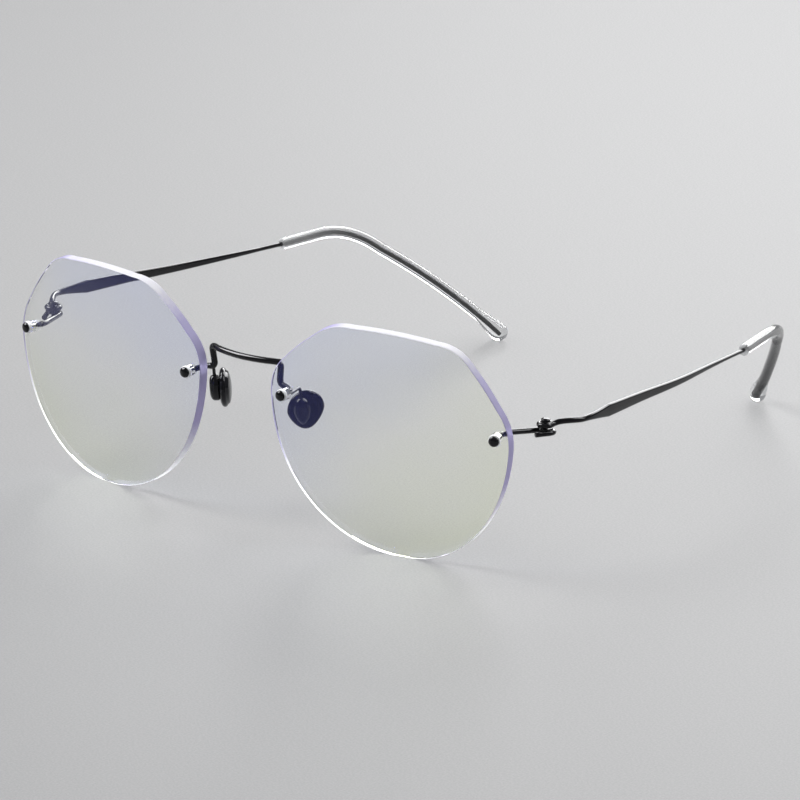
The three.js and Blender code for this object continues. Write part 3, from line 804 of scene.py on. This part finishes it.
def lens_outline():
    """Outline of the left lens: crowned top and slanted edges, and an elliptical lower part."""
    corners = [np.array(p) for p in (TOP_NASAL, TOP_TEMPORAL, SIDE_TEMPORAL, SIDE_NASAL)]
    top_nasal, top_temporal, side_temporal, side_nasal = corners
    foot = np.array(LENS_FOOT)

    def trimmed(a, b):
        return step_toward(a, b, CORNER_TRIM)

    def crown(a, b, rise):
        across = (b - a) / np.linalg.norm(b - a)
        return (a + b) / 2 + np.array([-across[1], across[0]]) * rise

    start, leave = trimmed(top_nasal, top_temporal), trimmed(top_temporal, top_nasal)
    enter, low = trimmed(top_temporal, side_temporal), trimmed(side_temporal, top_temporal)
    temporal_drop = side_temporal + TEMPORAL_DROP
    nasal_drop = side_nasal + NASAL_DROP
    nasal_rise, end = trimmed(side_nasal, top_nasal), trimmed(top_nasal, side_nasal)
    off_temporal, to_foot = LOWER_TEMPORAL_HANDLES
    off_nasal, from_foot = LOWER_NASAL_HANDLES
    pieces = [
        quadratic(start, crown(start, leave, BROW_RISE), leave, 28),
        quadratic(leave, top_temporal, enter, 20),
        quadratic(enter, crown(enter, low, FACET_RISE), low, 14),
        quadratic(low, side_temporal, temporal_drop, 20),
        cubic(temporal_drop, temporal_drop + off_temporal, foot + to_foot, foot, 40),
        cubic(foot, foot + from_foot, nasal_drop + off_nasal, nasal_drop, 44),
        quadratic(nasal_drop, side_nasal, nasal_rise, 20),
        quadratic(nasal_rise, crown(nasal_rise, end, FACET_RISE), end, 14),
        quadratic(end, top_nasal, start, 20),
    ]
    return join(pieces)[:-1]


def mount_pose(hole, side):
    """Placement on the front surface, with local +Y pointing back through the lens."""
    point = Vector((side * hole[0], sag(BASE_RADIUS, hole[0], hole[1]), hole[1]))
    back = (Vector((0, BASE_RADIUS, 0)) - point).normalized()
    turn = Vector((0, 1, 0)).rotation_difference(back).to_matrix().to_4x4()
    return lens_pose(side) @ Matrix.Translation(point) @ turn


def lens_piece(side, name):
    """Lens with two parallel faces, a chamfered rim and a hole at each end."""
    outline = lens_outline() * (side, 1)
    count = len(outline)
    away = outline / np.linalg.norm(outline, axis=1)[:, None]
    inner = outline - away * EDGE_CHAMFER
    back_radius = BASE_RADIUS - LENS_THICKNESS

    def face_rows(depth, radius):
        rows = []
        for share in FACE_RINGS:
            x, z = (inner * share).T
            rows.append(np.stack([x, depth + sag(radius, x, z), z], 1))
        return rows

    front = face_rows(0, BASE_RADIUS)
    back = face_rows(LENS_THICKNESS, back_radius)
    x, z = outline.T
    rim_front = np.stack([x, EDGE_CHAMFER + sag(BASE_RADIUS, x, z), z], 1)
    rim_back = np.stack([x, LENS_THICKNESS - EDGE_CHAMFER + sag(back_radius, x, z), z], 1)
    middle = [lerp(rim_front, rim_back, t) for t in (0.33, 0.67)]
    rows = [*front, rim_front, *middle, rim_back, *reversed(back)]
    vertices = np.vstack([*rows, [[0, 0, 0]], [[0, LENS_THICKNESS, 0]]])
    faces = rows_to_faces(len(rows), count)
    slots = []
    edge = range(len(front) - 1, len(front) + len(middle) + 1)
    for row in range(len(rows) - 1):
        slots += [int(row in edge)] * count
    last = (len(rows) - 1) * count
    middle_front, middle_back = len(rows) * count, len(rows) * count + 1
    for i in range(count):
        j = (i + 1) % count
        faces += [(middle_front, j, i), (middle_back, last + i, last + j)]
        slots += [0, 0]
    vertices = turn_points(vertices, lens_pose(side))
    # flat where it stands
    vertices[:, 2] = np.maximum(vertices[:, 2], 0)
    lens = new_piece(name, vertices, faces, [lens_clear, lens_edge], slots)
    for hole in (NASAL_HOLE, TEMPORAL_HOLE):
        drill(lens, mount_pose(hole, side), HOLE_RADIUS, HOLE_DRILL, hole_wall)
    finish_mesh(lens, 35)
    return lens


def drill(obj, pose, radius, length, material):
    """Cuts a round hole along the local +Y of a pose."""
    profile = [(0, -length / 2), (radius, -length / 2), (radius, length / 2), (0, length / 2)]
    vertices, faces = lathe(profile, 64)
    tool = new_piece("drill", turn_points(vertices, pose), faces, [material])
    modifier = obj.modifiers.new("hole", "BOOLEAN")
    modifier.operation = "DIFFERENCE"
    modifier.solver = "EXACT"
    modifier.object = tool
    bpy.context.view_layer.update()
    graph = bpy.context.evaluated_depsgraph_get()
    cut = bpy.data.meshes.new_from_object(obj.evaluated_get(graph))
    obj.modifiers.clear()
    obj.data = cut
    bpy.data.objects.remove(tool)


# ------------------------------------------------------------------------------ mounts


def ring_corners(bore, radius, low, high):
    """Profile corners of a flat ring."""
    return [(bore, low), (radius, low), (radius, high), (bore, high)]


def dome(radius, base, height, steps=10):
    """Profile points of a dome that rises towards -Y from base, or +Y for a negative height."""
    angles = [math.pi / 2 * k / steps for k in range(steps + 1)]
    return [(radius * math.cos(a), base - height * math.sin(a)) for a in angles]


def mount_pieces(side, prefix, hole):
    """Domed cap, flanged bushing and washer, turned about the axis of a lens hole."""
    pose = mount_pose(hole, side)
    cap_back = FLANGE_FRONT - FIT_GAP
    cap = [
        (0, cap_back),
        (CAP_RADIUS - CAP_ROUND, cap_back),
        (CAP_RADIUS - CAP_ROUND_INSET, cap_back - CAP_ROUND_INSET),
        (CAP_RADIUS, cap_back - CAP_ROUND),
        *dome(CAP_RADIUS, cap_back - CAP_WALL, CAP_HEIGHT - CAP_WALL),
    ]
    bushing_corners = [
        (SLEEVE_BORE, FLANGE_FRONT),
        (FLANGE_RADIUS, FLANGE_FRONT),
        (FLANGE_RADIUS, -FIT_GAP),
        (SLEEVE_RADIUS, -FIT_GAP),
        (SLEEVE_RADIUS, SLEEVE_END),
        (SLEEVE_BORE, SLEEVE_END),
    ]
    bushing = rounded_profile(bushing_corners, BUSHING_ROUNDS)
    washer_corners = ring_corners(SLEEVE_BORE, FLANGE_RADIUS, MOUNT_WASHER_FRONT, MOUNT_WASHER_BACK)
    washer = rounded_profile(washer_corners, MOUNT_WASHER_ROUNDS)
    for part, profile, materials, slot in (
        ("cap", cap, [titanium], "titanium"),
        ("bushing", bushing, [flange_plastic, sleeve_plastic], "clear_plastic"),
        ("washer", washer, [sleeve_plastic], "clear_plastic"),
    ):
        vertices, faces = lathe(profile)
        deepest = [max(vertices[i][1] for i in face) for face in faces]
        slots = [1 if part == "bushing" and depth > 0 else 0 for depth in deepest]
        obj = new_piece(f"{prefix}_{part}_fine", turn_points(vertices, pose), faces, materials, slots)
        place(obj, f"{prefix}_{part}", "front")


def mount_point(hole, side, back, rise=0.0):
    """A point on the axis of a lens hole, or beside it."""
    return np.array(mount_pose(hole, side) @ Vector((0, back, rise)))


# ------------------------------------------------------------------------------ wires


def bridge_piece():
    """One wire from stud to stud, with its cross bar bowed forward in the middle."""
    halves = []
    for side in (-1, 1):
        stud = mount_point(NASAL_HOLE, side, STUD_FRONT, TWIN_OFFSET)
        corners = [vec(p, side) for p in BRIDGE_CORNERS]
        halves.append(rounded_path([stud, *corners], BRIDGE_TRIMS))
    bar, corner = vec(BRIDGE_CORNERS[3]), vec(BRIDGE_CORNERS[2])
    # the two ends of the bar, carried on straight, meet here in the middle
    bow = bar + (corner - bar) * bar[0] / (bar[0] - corner[0])
    cross = quadratic(vec(BRIDGE_CORNERS[3], -1), bow, bar, 40)
    path = Path(join([halves[0], cross, halves[1][::-1]]))

    def size(d):
        radius = lerp(STUD_RADIUS, BRIDGE_WIRE, smooth(min(d, path.length - d), *BRIDGE_TAPER))
        return radius, radius

    vertices, faces = sweep(path, size, max_step=0.8)
    return new_piece("bridge_fine", vertices, faces, [titanium])


def endpiece_piece(side, name):
    """Wire from the temporal mount to the hinge, hooked once round the pin."""
    pin = vec((*HINGE, HOOK_Z), side)
    stud = mount_point(TEMPORAL_HOLE, side, STUD_FRONT)
    bend = mount_point(TEMPORAL_HOLE, side, ENDPIECE_BEND)
    run = (pin - bend) * (1, 1, 0)
    run /= np.linalg.norm(run)
    outward = np.array([side * abs(run[1]), -abs(run[0]), 0])

    def on_hook(along, out):
        return pin + run * along + outward * out

    lead = rounded_path([stud, bend, on_hook(HOOK_REACH, -HOOK_RADIUS)], [ENDPIECE_TRIM])
    turn = [
        on_hook(HOOK_REACH + HOOK_RADIUS * math.sin(a), -HOOK_RADIUS * math.cos(a))
        for a in np.linspace(0, math.pi, 37)
    ]
    tail = straight(turn[-1], on_hook(-HOOK_TAIL, HOOK_RADIUS))
    path = Path(join([lead, np.array(turn), tail]))

    def size(d):
        wire = lerp(STUD_RADIUS, ENDPIECE_WIRE, smooth(d, *ENDPIECE_TAPER))
        radius = lerp(wire, HOOK_WIRE, smooth(d, *[path.length - before for before in HOOK_TAPER]))
        return radius, radius

    vertices, faces = sweep(path, size, max_step=0.8)
    return new_piece(name, vertices, faces, [titanium])


def hinge_pieces(side, prefix):
    """Pin with a domed head, spacer and washer, turned about the vertical hinge axis."""
    upright = Matrix.Translation((side * HINGE[0], HINGE[1], 0)) @ Matrix.Rotation(math.pi / 2, 4, "X")
    foot = HOOK_Z - HOOK_WIRE
    spacer_top = SPACER_LOW + SPACER_HEIGHT
    washer_top = WASHER_LOW + WASHER_HEIGHT
    head = washer_top + FIT_GAP
    pin = [
        (0, foot),
        (PIN_RADIUS - PIN_FOOT_ROUND, foot),
        (PIN_RADIUS - 0.3 * PIN_FOOT_ROUND, foot + 0.3 * PIN_FOOT_ROUND),
        (PIN_RADIUS, foot + PIN_FOOT_ROUND),
        (PIN_RADIUS, head),
        (PIN_HEAD_RADIUS - PIN_HEAD_CHAMFER, head),
        (PIN_HEAD_RADIUS, head + PIN_HEAD_CHAMFER),
        *dome(PIN_HEAD_RADIUS, head + PIN_HEAD_EDGE, -PIN_HEAD_DOME),
    ]
    spacer_corners = ring_corners(RING_BORE, SPACER_RADIUS, SPACER_LOW, spacer_top)
    washer_corners = ring_corners(RING_BORE, WASHER_RADIUS, WASHER_LOW, washer_top)
    for part, profile in (
        ("pin", pin),
        ("spacer", rounded_profile(spacer_corners, SPACER_ROUNDS)),
        ("washer", rounded_profile(washer_corners, WASHER_ROUNDS)),
    ):
        vertices, faces = lathe(profile)
        node = f"{prefix}_hinge_{part}"
        obj = new_piece(f"{node}_fine", turn_points(vertices, upright), faces, [titanium])
        place(obj, node, "front")


# ------------------------------------------------------------------------------ temples


def tip_path(side, short_by=0.0):
    """Path of the tip, ending the given distance short of its closed end."""
    start, corner = vec(SLEEVE_ENTRY, side), vec(TIP_BEND, side)
    end = step_toward(vec(TIP_END, side), corner, short_by)
    before = step_toward(corner, start, TIP_BEND_TRIM)
    after = step_toward(corner, end, TIP_BEND_TRIM)
    bowed = (after + end) / 2 + vec(TIP_BOW, side)
    bend = quadratic(before, corner, after, 60)
    return [straight(start, before), bend, quadratic(after, bowed, end, 80)]


def temple_piece(side, name):
    """One wire: loop round the pin, jog outwards, flattened blade and round core inside the tip."""
    pin = np.array([*HINGE, LOOP_Z])
    loop = []
    for a in np.radians(np.arange(100, 361, 20)):
        loop.append(pin + (LOOP_RADIUS * math.cos(a), LOOP_RADIUS * math.sin(a), 0))
    points = [vec(p, side) for p in (*loop, pin + LOOP_EXIT, *JOG, *BLADE, SLEEVE_ENTRY)]
    path = Path(join([centripetal(points), *tip_path(side, CORE_SHORT)]))
    flare, widest, slim = (path.distance_at_y(y) for y in (BLADE_FLARE_Y, BLADE_WIDEST_Y, BLADE_SLIM_Y))

    def size(d):
        if d < flare:
            radius = lerp(LOOP_WIRE, ARM_RADIUS, smooth(d, *LOOP_TAPER))
            return radius, radius
        if d < widest:
            f = (d - flare) / (widest - flare)
            return (
                lerp(ARM_RADIUS, BLADE_HALF_THICKNESS, f),
                lerp(ARM_RADIUS, BLADE_HALF_HEIGHT, eased(f, BLADE_FLARE_BEND)),
            )
        f = min((d - widest) / (slim - widest), 1)
        return (
            lerp(BLADE_HALF_THICKNESS, CORE_RADIUS, f),
            lerp(BLADE_HALF_HEIGHT, CORE_RADIUS, eased(f, BLADE_SLIM_BEND)),
        )

    marks = (flare, widest, slim)
    spacing = {"max_turn": 3, "max_step": 0.8}
    vertices, faces = sweep(path, size, TEMPLE_SIDES, upright=True, extra=marks, **spacing)
    return new_piece(name, vertices, faces, [titanium], sharp=50)


def ball_stops(path, radius, degrees):
    """Distances along a path at which its half-ball end is cut into rings."""
    return [path.length - radius * (1 - math.cos(a)) for a in np.radians(degrees)]


def sleeve_stops(path, extra):
    """Rings of the sleeve, all but the one that would close to a point."""
    stops = path.stations(extra=extra, max_turn=2.5, max_step=0.8)
    return [s for s in stops if s < path.length - 1e-3]


def tip_piece(side, name):
    """Clear sleeve: outside with a rounded bulb, cut lip at the entry, and the bore inside."""
    sides = TEMPLE_SIDES
    path = Path(join(tip_path(side)))
    bulb = TIP_HALF_HEIGHT * BULB_SCALE

    def outer_size(d):
        left = path.length - d
        scale = lerp(BULB_SCALE, 1, smooth(left, *BULB_TAPER)) * ball_end(left, bulb)
        inset = round_over(d, TIP_LIP)
        return TIP_HALF_WIDTH * scale - inset, TIP_HALF_HEIGHT * scale - inset

    lip_stops = [TIP_LIP * k for k in (0.05, 0.2, 0.45, 0.75, 1.0)]
    bulb_stops = ball_stops(path, bulb, range(90, 4, -7))
    taper_stops = [path.length - left for left in np.arange(BULB_TAPER[1], bulb + 0.3, -0.5)]
    stops = sleeve_stops(path, [*lip_stops, *bulb_stops, *taper_stops])
    outer = sweep_rows(path, stops, outer_size, sides, True)

    bore = Path(join(tip_path(side, CORE_SHORT + CORE_GRIP)))
    bore_radius = CORE_RADIUS - CORE_GRIP

    def bore_size(d):
        radius = bore_radius * ball_end(bore.length - d, bore_radius) + round_over(d, BORE_LIP)
        return radius, radius

    bore_lip_stops = [BORE_LIP * k for k in (0.1, 0.4, 1.0)]
    bore_end_stops = ball_stops(bore, bore_radius, (90, 70, 50, 30, 12))
    bore_stops = sleeve_stops(bore, [*bore_lip_stops, *bore_end_stops])
    inner = sweep_rows(bore, bore_stops, bore_size, sides, True)

    rows = [*outer[::-1], *inner]
    faces = rows_to_faces(len(rows), sides)
    last = (len(rows) - 1) * sides
    vertices = np.vstack([*rows, [path.at(path.length)], [bore.at(bore.length)]])
    for i in range(sides):
        j = (i + 1) % sides
        faces.append((len(rows) * sides, j, i))
        faces.append((len(rows) * sides + 1, last + i, last + j))
    # flat where it stands
    vertices[:, 2] = np.maximum(vertices[:, 2], 0)
    return new_piece(name, vertices, faces, [silicone], sharp=60)


# ------------------------------------------------------------------------------ nose pads


def pad_pose(side):
    """Local +Z towards the nose, local +Y up along the pad."""
    to_nose = Vector((-side * math.cos(PAD_SPLAY), math.sin(PAD_SPLAY), 0))
    up = Vector((0, -math.sin(PAD_LEAN), math.cos(PAD_LEAN)))
    across = up.cross(to_nose).normalized()
    normal = across.cross(up).normalized()
    turn = Matrix((across, up, normal)).transposed().to_4x4()
    return Matrix.Translation((side * PAD_CENTRE[0], PAD_CENTRE[1], PAD_CENTRE[2])) @ turn


def shield(half_width, half_height, count):
    """Rounded shield outline, fuller above than below."""
    angles = np.linspace(0, 2 * math.pi, count, endpoint=False)
    taper = 1 - PAD_TAPER * np.maximum(0, -np.sin(angles))
    return np.stack([half_width * np.cos(angles) * taper, half_height * np.sin(angles)], 1)


def shield_solid(outline, layers, offset=(0, 0)):
    """Solid stack of scaled outlines, closed above and below, from (height, scale) layers."""
    count = len(outline)
    rows = []
    for height, scale in layers:
        flat = outline * scale + offset
        rows.append(np.hstack([flat, np.full((count, 1), height)]))
    faces = rows_to_faces(len(rows), count)
    last = (len(rows) - 1) * count
    bottom, top = len(rows) * count, len(rows) * count + 1
    centres = [[*offset, layers[0][0]], [*offset, layers[-1][0]]]
    for i in range(count):
        j = (i + 1) % count
        faces += [(bottom, j, i), (top, last + i, last + j)]
    return np.vstack([*rows, centres]), faces


def pad_piece(side, name):
    """Pad, domed towards the nose, with a rolled rim and a raised middle on its back."""
    layers = list(PAD_BACK)
    (rim_height, rim_scale), (rim_depth, rim_width) = PAD_RIM, PAD_RIM_RADII
    for a in np.radians(range(-70, 61, 10)):
        layers.append((rim_height + rim_depth * math.sin(a), rim_scale + rim_width * math.cos(a)))
    top_height, top_scale = layers[-1]
    for share in np.linspace(0, 1, 13)[1:]:
        scale = max(top_scale * (1 - share), PAD_BACK[0][1])
        layers.append((lerp(top_height, 0.5, ball_end(share, 1)), scale))
    layers = [(height * PAD_THICKNESS, scale) for height, scale in layers]
    vertices, faces = shield_solid(shield(PAD_HALF_WIDTH, PAD_HALF_HEIGHT, 72), layers)
    return new_piece(name, turn_points(vertices, pad_pose(side)), faces, [pad_plastic], sharp=60)


def box_piece(side, name):
    """Holder on the back of the pad, bored from above for the pad arm."""
    back = []
    for a in np.radians(range(80, -1, -10)):
        scale = 1 - BOX_DOME_SHARE * (1 - math.cos(a))
        back.append((BOX_BACK + BOX_DOME * (1 - math.sin(a)), scale))
    front = [(BOX_SEAT - BOX_RIM, 1.0), (BOX_SEAT, BOX_RIM_SCALE)]
    outline = shield(BOX_HALF_WIDTH, BOX_HALF_HEIGHT, 56)
    vertices, faces = shield_solid(outline, [*back, *front], (side * BOX_FORWARD, BOX_RISE))
    pose = pad_pose(side)
    box = new_piece(name, turn_points(vertices, pose), faces, [titanium])
    axis = Matrix.Translation((side * BOX_FORWARD, BOX_TOP, BOX_BACK + BOX_BORE_DEPTH))
    drill(box, pose @ axis, BOX_BORE, BOX_DRILL, titanium)
    finish_mesh(box, 50)
    return box


def pad_arm_piece(side, name):
    """Thin wire from the nasal mount that turns down into the pad box."""
    pose = pad_pose(side)

    def on_axis(y):
        return np.array(pose @ Vector((side * BOX_FORWARD, y, BOX_BACK + BOX_BORE_DEPTH)))

    corners = [
        mount_point(NASAL_HOLE, side, STUD_FRONT, -TWIN_OFFSET),
        mount_point(NASAL_HOLE, side, PAD_ARM_BEND, -TWIN_OFFSET),
        on_axis(BOX_TOP + ARM_ABOVE_BOX),
        on_axis(BOX_TOP - ARM_INTO_BOX),
    ]
    path = Path(rounded_path(corners, PAD_ARM_TRIMS))

    def size(d):
        radius = lerp(STUD_RADIUS, PAD_ARM_WIRE, smooth(d, *PAD_ARM_TAPER))
        return radius, radius

    vertices, faces = sweep(path, size, sides=20, max_step=0.6, end_round=0.08)
    return new_piece(name, vertices, faces, [titanium])


# ------------------------------------------------------------------------------ assembly

for prefix, side in (("left", 1), ("right", -1)):
    place(lens_piece(side, f"{prefix}_lens_fine"), f"{prefix}_lens", "front")
    mount_pieces(side, f"{prefix}_nasal_mount", NASAL_HOLE)
    mount_pieces(side, f"{prefix}_temporal_mount", TEMPORAL_HOLE)
    place(endpiece_piece(side, f"{prefix}_endpiece_fine"), f"{prefix}_endpiece", "front")
    hinge_pieces(side, prefix)
    place(pad_arm_piece(side, f"{prefix}_pad_arm_fine"), f"{prefix}_pad_arm", "front")
    place(box_piece(side, f"{prefix}_pad_box_fine"), f"{prefix}_pad_box", f"{prefix}_pad")
    place(pad_piece(side, f"{prefix}_nose_pad_fine"), f"{prefix}_nose_pad", f"{prefix}_pad")
    arm = f"{prefix}_temple_arm"
    place(temple_piece(side, f"{prefix}_temple_fine"), f"{prefix}_temple", arm)
    place(tip_piece(side, f"{prefix}_temple_tip_fine"), f"{prefix}_temple_tip", arm)
place(bridge_piece(), "bridge", "front")

# ------------------------------------------------------------------------------ studio


def area_light(name, place_m, size, power):
    """A soft rectangular lamp that faces the glasses and isn't seen by the camera."""
    data = bpy.data.lights.new(name, "AREA")
    data.shape = "RECTANGLE"
    data.size, data.size_y = size
    data.energy = power
    lamp = bpy.data.objects.new(name, data)
    bpy.context.scene.collection.objects.link(lamp)
    lamp.location = place_m
    lamp.rotation_euler = (LAMP_AIM - Vector(place_m)).to_track_quat("-Z", "Y").to_euler()
    lamp.visible_camera = False


def make_floor():
    mesh = bpy.data.meshes.new("floor")
    corners = [(x * FLOOR_HALF, y * FLOOR_HALF, 0) for x, y in ((-1, -1), (1, -1), (1, 1), (-1, 1))]
    mesh.from_pydata(corners, [], [(0, 1, 2, 3)])
    mesh.materials.append(floor_material())
    floor = bpy.data.objects.new("floor", mesh)
    bpy.context.scene.collection.objects.link(floor)


def make_sky():
    world = bpy.data.worlds.new("studio")
    world.use_nodes = True
    background = world.node_tree.nodes["Background"]
    background.inputs["Color"].default_value = (*SKY_COLOUR, 1)
    background.inputs["Strength"].default_value = SKY_STRENGTH
    bpy.context.scene.world = world
    bpy.context.scene.view_settings.view_transform = "Standard"


def make_camera():
    data = bpy.data.cameras.new("camera")
    data.sensor_width = CAMERA_SENSOR
    data.lens = CAMERA_LENS
    data.clip_start, data.clip_end = 0.01, 50
    camera = bpy.data.objects.new("camera", data)
    bpy.context.scene.collection.objects.link(camera)
    lift = Matrix.Rotation(math.pi / 2 - CAMERA_ELEVATION, 4, "X")
    turn = Matrix.Rotation(CAMERA_AZIMUTH, 4, "Z") @ lift @ Matrix.Rotation(CAMERA_ROLL, 4, "Z")
    away = Matrix.Translation((0, 0, CAMERA_DISTANCE))
    camera.matrix_world = Matrix.Translation(CAMERA_TARGET) @ turn @ away
    bpy.context.scene.camera = camera


make_floor()
for lamp_row in LAMPS:
    area_light(*lamp_row)
make_sky()
make_camera()
